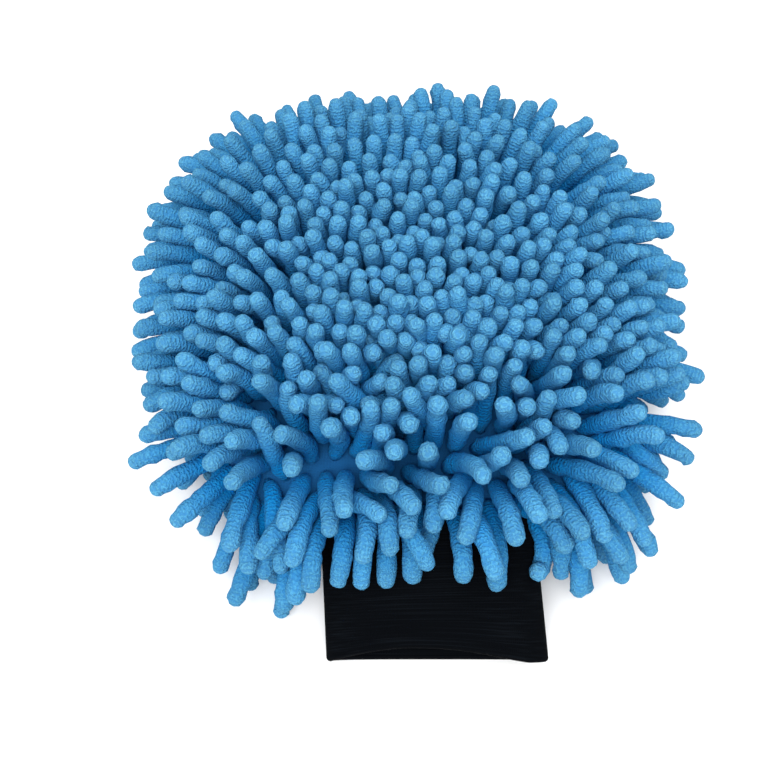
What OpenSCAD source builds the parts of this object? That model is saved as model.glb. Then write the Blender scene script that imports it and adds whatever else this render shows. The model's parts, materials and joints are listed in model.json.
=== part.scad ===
// Chenille wash mitt with a knitted cuff, lying flat with its cuff mouth towards -Y.
// Two pile cloths make a bag, rows of chenille noodles are sewn through them,
// a lining bag hangs inside, and a doubled knit cuff is sewn to the open end.

/* [Body] */
// Width of the cloth bag, side seam to side seam
body_w = 171; // [165:1:177]
// Length of the cloth bag, cuff seam to fingertip seam
body_l = 183; // [177:1:189]
// Thickness of the empty bag over its two cloths
body_h = 19; // [18:0.5:20]
// Thickness of the pile's base cloth
cloth_t = 1.2; // [1:0.1:1.3]
// Thickness of the mesh lining
lining_t = 0.6; // [0.5:0.1:0.7]

/* [Noodles] */
// Diameter of one chenille noodle
noodle_d = 5.6; // [5.2:0.1:5.6]
// Free length of one noodle
noodle_l = 36; // [34:1:38]
// Spacing of the noodles along a row
noodle_pitch = 7.1; // [7.1:0.1:7.7]

/* [Cuff] */
// Width of the relaxed cuff, laid flat
cuff_w = 84; // [80:1:86]
// Length of the cuff from its seam to its mouth
cuff_l = 50; // [46:1:54]
// Height of the open cuff
cuff_h = 15; // [14:0.5:15]
// Thickness of one layer of the knit
knit_t = 1; // [0.8:0.1:1.1]
// How far the resting cuff slopes down from its seam, in degrees
cuff_slope = 18; // [16:1:19]

/* [Hidden] */

TOP = 1;
PALM = -1;

// Sewn rows on each cloth, with the short one at the fingertip seam. Each strip of
// noodles carries two rows, and the last strip carries the last row alone.
row_count = 27;
strip_count = 14;

// The bag's outline is a superellipse, rounder towards the cuff, where it is cut
// straight across, and squarer towards the fingertips.
function outline_power(t) = t > 0 ? 4 : 3;
section_power = 4;
tip_power = 6;
t_cut = -pow(1 - pow(cuff_w / body_w, outline_power(-1)), 1 / outline_power(-1));
t_tip = 0.985;
half_l = body_l / (t_tip - t_cut);

// Noodle profile: a nipped root, a straight shaft and a round end.
noodle_r = noodle_d / 2;
root_r = 1.5;
root_taper = 7;
root_depth = 0.5;

// How far the noodles lean out at the edge, and how it grows from the middle.
top_lean = 78;
palm_lean = 62;
lean_power = 4;
front_lean_share = 0.62;
front_in = 42;
front_out = 60;
first_row_in = 5.5;
last_row_in = 1.6;
least_rise = 1.95;

// The bag's middle surface stands on the noodles under it and sags towards the cuff.
mid_high = 33;
mid_sag = 9;
sag_from = 55;

// The cuff turns about its seam, so its tube starts clear of the bag's cut edge.
cuff_start = 5.5;
layer_gap = 1.1;

// The origin is under the middle of the whole mitt.
front_reach = cuff_l * cos(cuff_slope) + cuff_h / 2 * sin(cuff_slope);
back_reach = body_l - last_row_in + (noodle_l - noodle_r) * sin(top_lean) + noodle_r;
seam_y = (front_reach - back_reach) / 2;
mid_y = seam_y - t_cut * half_l;
seam_z = mid_z(seam_y);

function mid_z(y) = mid_high - mid_sag * pow(max(0, (seam_y + sag_from - y) / sag_from), 2);
function t_of(y) = (y - mid_y) / half_l;
function half_w(t) = let (p = outline_power(t))
    body_w / 2 * pow(max(0, 1 - pow(abs(t), p)), 1 / p);

// Half height of the bag as a share of its thickest: round at the fingertip,
// and down to the cuff's own height at the cut.
function height_share(t) = t > 0
    ? sqrt(max(0, 1 - pow(t / t_tip, tip_power)))
    : 1 - (1 - cuff_h / body_h) * pow(t / t_cut, 2);

// A point of the bag's surface, inset by e. s runs across from -1 to 1 and t along.
// Past the middle the inset outline is a smaller superellipse, so it stands off evenly
// round the fingertips too.
function inset_y(t, e) = mid_y + (t > 0 ? half_l - e : half_l) * t;
function inset_w(t, e) = t > 0 ? half_w(t) * (1 - 2 * e / body_w) : half_w(t) - e;
function skin(s, t, e, side, gap = 0) = let (y = inset_y(t, e))
    [inset_w(t, e) * s, y,
     mid_z(y) + side * (gap + (body_h / 2 - e) * height_share(t)
                        * sqrt(max(0, 1 - pow(s, section_power))))];

// Rows of t and s, closer together where the surface turns.
function t_at(j, n) = (t_tip + t_cut) / 2 - (t_tip - t_cut) / 2 * cos(180 * j / n);
function s_at(i, n) = sin(-90 + 180 * i / n);

function unit(v) = v / norm(v);

// Closed shell between two grids of points, each n+1 rows of m+1 points.
module shell_between(outer, inner, m, n, flip) {
    count = (m + 1) * (n + 1);
    function at(i, j, k) = k * count + j * (m + 1) + i;
    function quad(a, b, c, d) = flip ? [[a, c, b], [a, d, c]] : [[a, b, c], [a, c, d]];
    skins = [for (j = [0:n - 1], i = [0:m - 1])
        each concat(
            quad(at(i, j, 0), at(i, j + 1, 0), at(i + 1, j + 1, 0), at(i + 1, j, 0)),
            quad(at(i, j, 1), at(i + 1, j, 1), at(i + 1, j + 1, 1), at(i, j + 1, 1)))];
    ends = [for (i = [0:m - 1])
        each concat(
            quad(at(i, 0, 0), at(i + 1, 0, 0), at(i + 1, 0, 1), at(i, 0, 1)),
            quad(at(i, n, 0), at(i, n, 1), at(i + 1, n, 1), at(i + 1, n, 0)))];
    sides = [for (j = [0:n - 1])
        each concat(
            quad(at(0, j, 0), at(0, j, 1), at(0, j + 1, 1), at(0, j + 1, 0)),
            quad(at(m, j, 0), at(m, j + 1, 0), at(m, j + 1, 1), at(m, j, 1)))];
    polyhedron(concat(outer, inner), concat(ends, skins, sides), convexity = 6);
}

// One half of a bag: a domed cloth of thickness thick, its outside inset by e.
module half_bag(e, thick, side, m, n) {
    edge_gap = 0.15;
    outer = [for (j = [0:n], i = [0:m]) skin(s_at(i, m), t_at(j, n), e, side, edge_gap)];
    inner = [for (j = [0:n], i = [0:m])
        skin(s_at(i, m), t_at(j, n), e + thick, side, edge_gap)];
    // The block holds the whole cloth, and meeting it gives the shell clean outward faces.
    intersection() {
        shell_between(outer, inner, m, n, side == PALM);
        translate([-body_w, -body_l, 0]) cube([2 * body_w, 2 * body_l, 2 * mid_high]);
    }
}

// Tube of radius r and sides facets swept along points.
module swept_tube(points, r, sides) {
    last = len(points) - 1;
    function along(k) = unit(points[min(last, k + 1)] - points[max(0, k - 1)]);
    function across(k) = unit(cross(along(k), [0, 0, 1]));
    rings = [for (k = [0:last]) let (a = across(k), b = cross(a, along(k)))
        each [for (q = [0:sides - 1]) let (angle = 360 * q / sides)
            points[k] + r * (cos(angle) * a + sin(angle) * b)]];
    walls = [for (k = [0:last - 1], q = [0:sides - 1])
        let (a = k * sides + q, b = k * sides + (q + 1) % sides)
        each [[a, b, b + sides], [a, b + sides, a + sides]]];
    first_cap = [for (q = [1:sides - 2]) [0, q + 1, q]];
    last_cap = [for (q = [1:sides - 2]) [last * sides, last * sides + q, last * sides + q + 1]];
    polyhedron(rings, concat(walls, first_cap, last_cap), convexity = 6);
}

// Line of the bag's edge, inset by e, from one side of the cuff round to the other. It
// starts a little in from the cuff's own seam.
t_edge = t_cut + 6 / half_l;
function edge_t(j, n) = (t_tip + t_edge) / 2 - (t_tip - t_edge) / 2 * cos(180 * j / n);
function edge_line(e, n) = let (
    side = [for (j = [0:n]) skin(1, edge_t(j, n), e, TOP)],
    back = [for (j = [n:-1:0]) skin(-1, edge_t(j, n), e, TOP)],
    tip_half = side[n][0],
    tip_y = side[n][1],
    tip = [for (k = [1:4]) [tip_half * (1 - 2 * k / 5), tip_y, mid_z(tip_y)]])
    concat(side, tip, back);

module edge_thread(e, r, n) {
    swept_tube(edge_line(e, n), r, 6);
}

// Where row k's noodles are rooted, as t along the bag.
function row_t(k) = let (
    first = seam_y + first_row_in,
    last = seam_y + body_l - last_row_in,
    step = (last - first - 4.4) / (row_count - 2))
    t_of(k == row_count - 1 ? last : first + step * k);

// How far a row reaches to each side: to where the cloth is least_rise off the middle.
function row_reach(t) = half_w(t)
    * pow(1 - pow(least_rise / (body_h / 2 * height_share(t)), 2), 1 / section_power);

// Spacing across row k that fills it evenly. The last row keeps its neighbour's.
function row_gap(k) = let (
    full = min(k, row_count - 2),
    odd = full % 2,
    reach = row_reach(row_t(full)))
    reach / (floor(reach / noodle_pitch - odd / 2) + odd / 2);

// Roots across row k, every other row staggered.
function row_places(k) = let (
    odd = k % 2,
    gap = row_gap(k),
    steps = floor(row_reach(row_t(k)) / gap - odd / 2 + 0.01))
    [for (i = [-steps - odd:steps]) (i + odd / 2) * gap];

// The outside surface's height over the middle surface at x, y.
function rise(x, t) = let (w = half_w(t))
    body_h / 2 * height_share(t) * sqrt(max(0, 1 - pow(x / w, section_power)));

function root_point(x, t, side) = let (y = mid_y + half_l * t)
    [x, y, mid_z(y) + side * rise(x, t)];

// Unit vector from the bag's middle towards x, t, seen from above.
function outward(x, t) = let (
    p = outline_power(t) - 1,
    dx = sign(x) * pow(abs(2 * x / body_w), p) / (body_w / 2),
    dy = sign(t) * pow(abs(t), p) / half_l)
    norm([dx, dy]) < 1e-9 ? [0, 0] : unit([dx, dy]);

function reach_share(x, t) = let (p = outline_power(t))
    pow(pow(abs(2 * x / body_w), p) + pow(abs(t / t_tip), p), 1 / p);

// Noodles fan out from upright in the middle. Over the cuff they lean less,
// and under it not at all, so the cuff can turn between them.
function noodle_way(x, t, side) = let (
    full = side == TOP ? top_lean : palm_lean,
    out = outward(x, t),
    over_cuff = min(1, max(0, (front_out - abs(x)) / (front_out - front_in))),
    front = max(0, -out[1]) * over_cuff,
    held = 1 - front * (1 - (side == TOP ? front_lean_share : 0)),
    lean = full * min(1, pow(reach_share(x, t), lean_power)) * held)
    [out[0] * sin(lean), out[1] * sin(lean), side * cos(lean)];

// Under the mitt a noodle is only as long as the height it stands in.
function standing_length(z, way) =
    min(noodle_l, noodle_r + (z - noodle_r) / max(0.2, -way[2]));

module noodle(long) {
    shaft_end = long - noodle_r;
    rotate_extrude($fn = 24) {
        polygon([[0, -root_depth], [root_r, -root_depth], [root_r, 0], [noodle_r, root_taper],
                 [noodle_r, shaft_end], [0, shaft_end]]);
        translate([0, shaft_end]) intersection() {
            circle(noodle_r, $fn = 24);
            square(noodle_r);
        }
    }
}

// Strip q of noodles on one side of the bag: rows 2q and 2q + 1.
module noodle_strip(q, side) {
    for (k = [2 * q:min(2 * q + 1, row_count - 1)]) noodle_row(k, side);
}

// Row k of noodles on one side of the bag.
module noodle_row(k, side) {
    t = row_t(k);
    for (x = row_places(k)) {
        way = noodle_way(x, t, side);
        root = root_point(x, t, side);
        long = side == TOP ? noodle_l : standing_length(root[2], way);
        turn_about = norm([way[0], way[1]]) < 1e-6 ? [1, 0, 0] : [-way[1], way[0], 0];
        translate(root) rotate(a = acos(way[2]), v = turn_about) noodle(long);
    }
}

// Flat stitching along row k, on the inside of the cloth.
module row_stitch(k, side) {
    wide = 1.6;
    high = 0.35;
    steps = 12;
    inset = cloth_t + 0.05;
    edge_share = 0.93;
    half = wide / 2 / half_l;
    function line(j, e) = let (t = row_t(k) + half * j, deep = t > 0 ? t * half_l / (half_l - e) : t)
        [for (i = [0:steps]) skin(edge_share * s_at(i, steps), deep, e, side)];
    outer = concat(line(-1, inset), line(1, inset));
    inner = concat(line(-1, inset + high), line(1, inset + high));
    shell_between(outer, inner, steps, 1, side == PALM);
}

module stitches(side) {
    for (k = [0:row_count - 2]) row_stitch(k, side);
}

// Flat-sided round tube section, wide across X and high across Y.
module flat_round(wide, high) {
    translate([-(wide - high) / 2, -high / 2]) square([wide - high, high]);
    for (side = [-1, 1]) translate([side * (wide - high) / 2, 0]) circle(high / 2, $fn = 48);
}

module flat_tube(wide, high, wall, long) {
    linear_extrude(long) difference() {
        flat_round(wide, high);
        flat_round(wide - 2 * wall, high - 2 * wall);
    }
}

// Frame of the cuff: origin on its seam, +Z along it towards the mouth.
module on_cuff() {
    translate([0, seam_y, seam_z]) rotate([90 + cuff_slope, 0, 0]) children();
}

// The cuff is one knit tube folded double, with the fold at the mouth.
module cuff_knit() {
    inner_in = knit_t + layer_gap;
    fold = 1.2;
    color("#0b0e12") on_cuff() {
        translate([0, 0, cuff_start]) flat_tube(cuff_w, cuff_h, knit_t, cuff_l - cuff_start);
        translate([0, 0, cuff_start])
            flat_tube(cuff_w - 2 * inner_in, cuff_h - 2 * inner_in, knit_t, cuff_l - cuff_start);
        translate([0, 0, cuff_l - fold])
            flat_tube(cuff_w, cuff_h, knit_t + inner_in, fold);
    }
}

// Elastic band lying between the knit's two layers, just inside the fold.
module cuff_elastic() {
    band = 12;
    slack = 0.15;
    inset = knit_t + slack;
    color("#d9d9d2") on_cuff() translate([0, 0, cuff_l - 1.5 - band])
        flat_tube(cuff_w - 2 * inset, cuff_h - 2 * inset, layer_gap - 2 * slack, band);
}

// Flat seam that closes the knit into a tube, inside one end of the flattened cuff.
module cuff_side_seam() {
    thread_r = 0.7;
    inset = 2 * knit_t + layer_gap + thread_r;
    color("#15181c") on_cuff() translate([cuff_w / 2 - inset - 0.05, 0, cuff_start + 1])
        cylinder(h = cuff_l - cuff_start - 4, r = thread_r, $fn = 24);
}

// Overlocked seam inside the bag's open end, round its whole mouth.
module cuff_seam_thread() {
    thread_r = 0.8;
    n = 40;
    in = 2.6;
    inset = cloth_t + thread_r - 0.15;
    t = t_of(seam_y + in);
    function ring(q) = let (s = s_at(q <= n ? q : 2 * n - q, n), side = q <= n ? TOP : PALM)
        skin(s, t, inset, side);
    line = [for (q = [0:2 * n - 1]) ring(q)];
    color("#2f6fb0") closed_tube(line, thread_r, 6);
}

// Tube round a closed loop that lies across Y.
module closed_tube(points, r, sides) {
    count = len(points);
    function along(k) = unit(points[(k + 1) % count] - points[(k + count - 1) % count]);
    rings = [for (k = [0:count - 1]) let (a = [0, 1, 0], b = cross(a, along(k)))
        each [for (q = [0:sides - 1]) let (angle = 360 * q / sides)
            points[k] + r * (cos(angle) * a + sin(angle) * b)]];
    walls = [for (k = [0:count - 1], q = [0:sides - 1])
        let (a = k * sides + q, b = k * sides + (q + 1) % sides,
             next = (k + 1) % count * sides - k * sides)
        each [[a, b, b + next], [a, b + next, a + next]]];
    polyhedron(rings, walls, convexity = 6);
}

module top_cloth() { color("#3f8fd4") half_bag(0, cloth_t, TOP, 21, 20); }
module palm_cloth() { color("#3f8fd4") half_bag(0, cloth_t, PALM, 21, 20); }
module top_lining() { color("#c9d3da") half_bag(4.2, lining_t, TOP, 17, 16); }
module palm_lining() { color("#c9d3da") half_bag(4.2, lining_t, PALM, 17, 16); }
module side_seam_thread() { color("#2f6fb0") edge_thread(1.8, 0.8, 20); }
module lining_seam_thread() { color("#e4e8ea") edge_thread(5.3, 0.7, 16); }
module top_row_stitches() { color("#2f6fb0") stitches(TOP); }
module palm_row_stitches() { color("#2f6fb0") stitches(PALM); }

top_cloth();
palm_cloth();
top_lining();
palm_lining();
side_seam_thread();
lining_seam_thread();
cuff_seam_thread();
top_row_stitches();
palm_row_stitches();
cuff_knit();
cuff_elastic();
cuff_side_seam();

first_strip_node = 12;
for (q = [0:strip_count - 1]) {
    color("#3f8fd4") noodle_strip(q, TOP);
    color("#3f8fd4") noodle_strip(q, PALM);
}
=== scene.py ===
import json
import math
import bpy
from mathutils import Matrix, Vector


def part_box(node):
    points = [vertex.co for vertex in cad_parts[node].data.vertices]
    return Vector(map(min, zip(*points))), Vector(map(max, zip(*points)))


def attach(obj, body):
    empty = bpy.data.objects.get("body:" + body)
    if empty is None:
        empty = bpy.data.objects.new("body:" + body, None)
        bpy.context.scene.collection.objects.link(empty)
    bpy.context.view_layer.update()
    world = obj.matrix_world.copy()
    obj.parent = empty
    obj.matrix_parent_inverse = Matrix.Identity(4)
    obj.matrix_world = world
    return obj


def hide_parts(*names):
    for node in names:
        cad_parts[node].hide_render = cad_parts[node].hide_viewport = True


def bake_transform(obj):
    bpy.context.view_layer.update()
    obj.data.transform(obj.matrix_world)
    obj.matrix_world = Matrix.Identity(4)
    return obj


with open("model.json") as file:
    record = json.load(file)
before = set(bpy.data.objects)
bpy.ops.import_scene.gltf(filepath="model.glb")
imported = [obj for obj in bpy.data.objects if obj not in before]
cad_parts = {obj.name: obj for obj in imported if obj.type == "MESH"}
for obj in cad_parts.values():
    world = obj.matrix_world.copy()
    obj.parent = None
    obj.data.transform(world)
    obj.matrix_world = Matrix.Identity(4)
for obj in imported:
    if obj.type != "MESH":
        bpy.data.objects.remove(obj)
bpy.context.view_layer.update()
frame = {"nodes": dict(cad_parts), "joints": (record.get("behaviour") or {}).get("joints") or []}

from types import SimpleNamespace

import bpy
import numpy as np
from bpy.props import FloatProperty, FloatVectorProperty, IntProperty, PointerProperty
from bpy.types import Operator, Panel, PropertyGroup
from mathutils import Vector

bl_info = {
    "name": "Chenille Wash Mitt",
    "version": (1, 0, 0),
    "blender": (4, 5, 0),
    "location": "View3D > Sidebar > Wash Mitt",
    "description": "Builds the pile, cloths, seams and cuff of a wash mitt, and its stage",
    "category": "Object",
}

MM = 0.001
TOP, PALM = 1, -1
HINGE = Vector(frame["joints"][0]["pos_m"])
# Each node is a strip of two sewn rows, and the last one a single row.
TOP_ROWS = sorted(n for n in frame["nodes"] if n.startswith("top_noodles"))
PALM_ROWS = sorted(n for n in frame["nodes"] if n.startswith("palm_noodles"))
CLOTH_LOW, CLOTH_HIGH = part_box("top_cloth")
CUFF_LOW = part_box("cuff_knit")[0]
STRAND_POINTS = 9  # points of a noodle's centre line while it settles
FRINGE_HALF_WIDTH = 0.046  # noodles this near the middle may hang over the cuff
LINING_INSET = 4.2 * MM  # from the bag's outside to the lining's


# ---------------------------------------------------------------- settings


def length(name, description, default, low, high):
    """A length in metres."""
    return FloatProperty(
        name=name,
        description=description,
        default=default,
        min=low,
        max=high,
        precision=4,
        unit="LENGTH",
        subtype="DISTANCE",
    )


def number(name, description, default, low, high):
    """A whole number."""
    return IntProperty(name=name, description=description, default=default, min=low, max=high)


def angle(name, description, degrees, low, high):
    """An angle, given in degrees."""
    return FloatProperty(
        name=name,
        description=description,
        default=math.radians(degrees),
        min=math.radians(low),
        max=math.radians(high),
        unit="ROTATION",
        subtype="ANGLE",
    )


def share(name, description, default):
    """A number from 0 to 1."""
    return FloatProperty(
        name=name, description=description, default=default, min=0, max=1, subtype="FACTOR"
    )


def colour(name, description, default):
    """A colour in scene linear values."""
    return FloatVectorProperty(
        name=name,
        description=description,
        default=default,
        min=0,
        max=1,
        size=3,
        subtype="COLOR",
    )


class PileSettings(PropertyGroup):
    thickness: length("Noodle thickness", "Thickness of one noodle", 7.5 * MM, 5 * MM, 9 * MM)
    top_length: length("Top length", "Length of the noodles on top", 38 * MM, 30 * MM, 40 * MM)
    palm_length: length("Palm length", "Longest noodle underneath", 37 * MM, 20 * MM, 40 * MM)
    length_spread: share("Length spread", "How much the lengths differ, as a share", 0.07)
    droop: length("Droop", "How far a free noodle's end falls at each step", 0.5 * MM, 0, 4 * MM)
    forward: share("Forward lean", "How far the noodles near the cuff lean towards it", 0.5)
    stiffness: share("Stiffness", "How strongly a noodle keeps straight", 0.55)
    spread: share("Spread", "How strongly neighbouring tips keep apart", 0.06)
    tidiness: share("Tidiness", "How strongly a noodle keeps its sewn direction", 0.3)
    clump_reach: length(
        "Clump reach", "How far a noodle's end is drawn to its clump", 2.4 * MM, 0, 8 * MM
    )
    clumps: number("Clumps", "Number of clumps the pile gathers in", 46, 1, 200)
    steps: number("Steps", "Steps that the pile takes to settle", 70, 1, 200)
    seed: number("Seed", "Seed of the pile's disorder", 12, 0, 10000)


class ClothSettings(PropertyGroup):
    thickness: length("Bag thickness", "Thickness of the empty bag", 19 * MM, 10 * MM, 30 * MM)
    cloth: length("Cloth", "Thickness of the pile's backing cloth", 1.2 * MM, 0.5 * MM, 2 * MM)
    lining: length("Lining", "Thickness of the lining", 0.6 * MM, 0.3 * MM, 1.5 * MM)
    pucker: length("Pucker", "Depth of the cloth's dips at each sewn row", 0.5 * MM, 0, 2 * MM)


class CuffSettings(PropertyGroup):
    slope: angle("Slope", "Fall of the resting cuff towards its mouth", 18, 0, 40)
    width: length("Width", "Width of the flat cuff", 84 * MM, 60 * MM, 100 * MM)
    height: length("Height", "Height of the open cuff", 15 * MM, 8 * MM, 30 * MM)
    knit: length("Doubled knit", "Thickness of the knit, folded double", 3.1 * MM, 1 * MM, 5 * MM)
    sink: length("Sink", "How far the upper layer sinks in the middle", 1.2 * MM, 0, 4 * MM)
    turn: angle("Turn", "Turn of the mouth against the seam", -3.6, -8, 8)
    top_setback: length(
        "Lip setback", "How far the upper lip of the mouth stands back", 5.5 * MM, 0, 10 * MM
    )


class ColourSettings(PropertyGroup):
    pile: colour("Pile tip", "Colour of the chenille at its tips", (0.100, 0.34, 0.535))
    # Mostly painted shade: the pile goes from this colour at the root to the tip colour, and
    # noodles in the clear at the bag's edge get less of it.
    shaft: colour("Pile shaft", "Colour of the chenille down its shafts", (0.004, 0.21, 0.51))
    # Painted shade in the pits between the chenille's nubs.
    pit_shade: colour("Deep pile", "Colour between the chenille's nubs", (0.001, 0.085, 0.33))
    # The backing cloth's blue, darkened further as painted shade of the gaps between noodles.
    backing: colour("Backing", "Colour of the backing cloth", (0.008, 0.11, 0.30))
    lining: colour("Lining", "Colour of the lining", (0.50, 0.58, 0.64))
    knit: colour("Knit", "Colour of the cuff", (0.001, 0.0015, 0.0024))
    knit_light: colour(
        "Knit streaks", "Colour of the cuff's pale courses", (0.0035, 0.005, 0.0072)
    )
    thread: colour("Thread", "Colour of the sewing thread", (0.05, 0.2, 0.45))
    elastic: colour("Elastic", "Colour of the elastic band", (0.6, 0.6, 0.55))


class StageSettings(PropertyGroup):
    azimuth: angle(
        "Azimuth", "Turn of the camera about the mitt, clockwise from above", 3.6, -180, 180
    )
    elevation: angle("Elevation", "Camera's height over the horizon", 60, 0, 90)
    distance: length("Distance", "Camera's distance", 0.336, 0.1, 3)
    lens: FloatProperty(
        name="Lens",
        description="Camera's focal length in millimetres",
        default=37.5,
        min=10,
        max=200,
    )
    aim: FloatVectorProperty(
        name="Aim",
        description="Point that the camera looks at",
        default=(-0.0135, -0.0225, 0.033),
        size=3,
        unit="LENGTH",
        subtype="TRANSLATION",
    )
    key: FloatProperty(
        name="Key light",
        description="Power of the soft key light",
        default=12,
        min=0,
        unit="POWER",
    )
    fill: FloatProperty(
        name="Surround", description="Strength of the pale surround", default=0.5, min=0
    )


# ---------------------------------------------------------------- the bag's shape


class Bag:
    """The bag's surface. From above its outline is a superellipse, of power 3 towards the cuff,
    where it is cut straight, and 4 towards the fingertips. Its middle surface is level and sags
    in a parabola towards the cuff, and each cloth rises from it as the root of 1 less the fourth
    power of the way across."""

    width = (CLOTH_HIGH.x - CLOTH_LOW.x) / 2
    length, cuff_half = 0.183, 0.042
    start, end = HINGE.y, HINGE.y + length
    first_row, row_step = 0.0055, 0.00686
    near_power, far_power, rise_power, tip_power = 3, 4, 4, 6
    tip = 0.985
    cut = -((1 - (cuff_half / width) ** near_power) ** (1 / near_power))
    half = (end - start) / (tip - cut)
    middle = start - cut * half
    high, sag, sag_from = HINGE.z + 0.009, 0.009, 0.055
    cuff_fullness = 15 / 19

    @classmethod
    def mid(cls, y):
        """Height of the middle surface."""
        before = np.maximum(0, (cls.start + cls.sag_from - y) / cls.sag_from)
        return cls.high - cls.sag * before**2

    @classmethod
    def half_width(cls, t):
        """Half width of the outline at t along the bag."""
        power = np.where(t > 0, cls.far_power, cls.near_power)
        return cls.width * np.maximum(0, 1 - np.abs(t) ** power) ** (1 / power)

    @classmethod
    def fullness(cls, t):
        """Share of the full thickness at t along the bag: the root of 1 less the sixth power
        towards the fingertips, and a parabola down to the cuff's share towards the cuff."""
        far = np.sqrt(np.maximum(0, 1 - np.abs(t / cls.tip) ** cls.tip_power))
        near = 1 - (1 - cls.cuff_fullness) * (t / cls.cut) ** 2
        return np.where(t > 0, far, near)

    @classmethod
    def point(cls, s, t, inset, side, thickness):
        """Point at s across (-1 to 1) and t along, inset from the outside."""
        y = cls.middle + np.where(t > 0, cls.half - inset, cls.half) * t
        far = cls.half_width(t) * (1 - inset / cls.width)
        wide = np.where(t > 0, far, cls.half_width(t) - inset)
        round_off = np.sqrt(np.maximum(0, 1 - s**cls.rise_power))
        rise = (thickness / 2 - inset) * cls.fullness(t) * round_off
        return np.stack([wide * s, y, cls.mid(y) + side * rise], -1)

    @classmethod
    def reach(cls, x, y):
        """How far out a point lies from the bag's middle, from 0 to 1 at its outline."""
        t = (y - cls.middle) / cls.half
        power = np.where(t > 0, cls.far_power, cls.near_power)
        return (np.abs(x / cls.width) ** power + np.abs(t / cls.tip) ** power) ** (1 / power)

    @classmethod
    def rise_at(cls, x, y, thickness):
        """Half thickness of the bag under a point, and 0 outside its outline."""
        t = (y - cls.middle) / cls.half
        inside = (t > cls.cut) & (t < cls.tip)
        wide = np.maximum(cls.half_width(np.clip(t, cls.cut, cls.tip)), 1e-6)
        across = np.clip(np.abs(x) / wide, 0, 1)
        rise = thickness / 2 * cls.fullness(np.clip(t, cls.cut, cls.tip))
        return np.where(inside, rise * np.sqrt(np.maximum(0, 1 - across**cls.rise_power)), 0)


# ---------------------------------------------------------------- mesh making


def new_piece(name, points, faces, uv=None, smooth=True):
    """An object at the origin whose mesh has these points and faces, with uv given per face
    corner."""
    mesh = bpy.data.meshes.new(name)
    mesh.from_pydata(points.reshape(-1, 3), [], faces)
    mesh.validate()
    if uv is not None:
        layer = mesh.uv_layers.new(name="UVMap")
        layer.data.foreach_set("uv", np.ascontiguousarray(uv, np.float32).ravel())
    mesh.polygons.foreach_set("use_smooth", np.full(len(mesh.polygons), smooth))
    mesh.update()
    piece = bpy.data.objects.new(name, mesh)
    bpy.context.scene.collection.objects.link(piece)
    return piece


def finish_piece(piece, body, slot, material, *nodes):
    """Gives a piece its material and its body, and hides the CAD nodes that it stands for. The slot
    is not used."""
    piece.data.materials.clear()
    piece.data.materials.append(material)
    if body:
        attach(piece, body)
    if nodes:
        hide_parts(*nodes)
    return piece


def point_attribute(piece, name, values):
    """Stores one number for each of a piece's points."""
    layer = piece.data.attributes.new(name, "FLOAT", "POINT")
    layer.data.foreach_set("value", values.ravel().astype(np.float32))


def thicken(piece, thickness):
    """Gives a sheet its thickness, half to each side."""
    wall = piece.modifiers.new("thickness", "SOLIDIFY")
    wall.thickness = thickness
    wall.offset = 0


def grid_faces(rows, columns, loop_columns=False):
    """Quads of a grid of rows by columns points, each row joined end to start where it loops."""
    r = np.arange(rows - 1)[:, None]
    c = np.arange(columns if loop_columns else columns - 1)[None, :]
    r2, c2 = r + 1, (c + 1) % columns
    quads = np.stack([r * columns + c, r * columns + c2, r2 * columns + c2, r2 * columns + c], -1)
    return quads.reshape(-1, 4)


def unit(v):
    """Vectors of the same directions and of length 1."""
    return v / np.maximum(np.linalg.norm(v, axis=-1, keepdims=True), 1e-12)


def smooth(value, low, high):
    """0 below low, 1 above high, and a smooth step between."""
    f = np.clip((value - low) / (high - low), 0, 1)
    return f * f * (3 - 2 * f)


def spline_weights(points, at):
    """Weights of a Catmull-Rom curve through evenly spaced points, and of its slope, at the
    places at from 0 to 1."""
    place = np.clip(at, 0, 1) * (points - 1)
    k = np.minimum(place.astype(int), points - 2)
    f = (place - k)[:, None]
    value = np.concatenate(
        [
            (-f + 2 * f**2 - f**3) / 2,
            (2 - 5 * f**2 + 3 * f**3) / 2,
            (f + 4 * f**2 - 3 * f**3) / 2,
            (-(f**2) + f**3) / 2,
        ],
        1,
    )
    slope = np.concatenate(
        [
            (-1 + 4 * f - 3 * f**2) / 2,
            (-10 * f + 9 * f**2) / 2,
            (1 + 8 * f - 9 * f**2) / 2,
            (-2 * f + 3 * f**2) / 2,
        ],
        1,
    )
    curve, rate = np.zeros((len(at), points)), np.zeros((len(at), points))
    for j in range(4):
        near = np.clip(k + j - 1, 0, points - 1)
        np.add.at(curve, (np.arange(len(at)), near), value[:, j])
        np.add.at(rate, (np.arange(len(at)), near), slope[:, j])
    return curve, rate


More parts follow.
